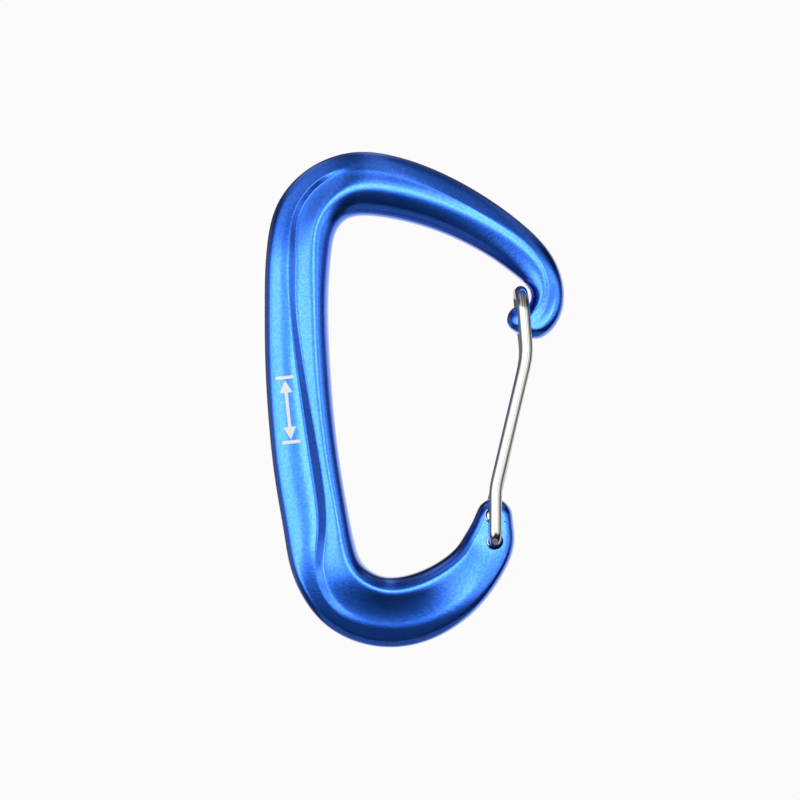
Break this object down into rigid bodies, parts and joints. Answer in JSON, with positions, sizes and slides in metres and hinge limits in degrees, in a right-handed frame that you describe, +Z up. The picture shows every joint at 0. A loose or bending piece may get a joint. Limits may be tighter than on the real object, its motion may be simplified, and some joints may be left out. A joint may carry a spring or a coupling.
{
  "type": "wiregate carabiner",
  "caption": "Wiregate carabiner: forged D-shaped aluminium body with wide baskets, a hooked nose and a sprung wire gate that opens inwards.",
  "frame": {"origin": "crown of the top basket, on the inner surface that a sling hangs from, midway through the thickness", "axes": "+Z up along the line of load from the bottom basket to the top basket, +X from the spine towards the gate, +Y through the thickness, away from the pictured face"},
  "size_m": [0.0484, 0.0104, 0.08],
  "materials": {
    "anodised_body": "satin blue anodising over a tumbled forging",
    "gate_wire": "polished stainless spring wire"
  },
  "bodies": {
    "carabiner_body": {"body": "anodised_body"},
    "gate": {"gate_loop": "gate_wire"},
    "front_leg": {"gate_front_leg": "gate_wire"},
    "rear_leg": {"gate_rear_leg": "gate_wire"}
  },
  "joints": [
    {"name": "gate_hinge", "type": "hinge", "parent": "carabiner_body", "child": "gate", "pos_m": [0.02147, 0, -0.05027], "axis": [0, -1, 0], "range_deg": [0, 35], "stiffness_Nm_per_rad": 0.25, "springref_deg": -20.05},
    {"name": "front_leg_flex", "type": "hinge", "parent": "gate", "child": "front_leg", "pos_m": [0.02412, 0, -0.03311], "axis": [0, -1, 0], "range_deg": [-3.7, 0]},
    {"name": "rear_leg_flex", "type": "hinge", "parent": "gate", "child": "rear_leg", "pos_m": [0.02412, 0, -0.03311], "axis": [0, -1, 0], "range_deg": [0, 4.7]}
  ],
  "couplings": [
    {"joint": "front_leg_flex", "follows": "gate_hinge", "ratio": -0.104},
    {"joint": "rear_leg_flex", "follows": "gate_hinge", "ratio": 0.1315}
  ]
}
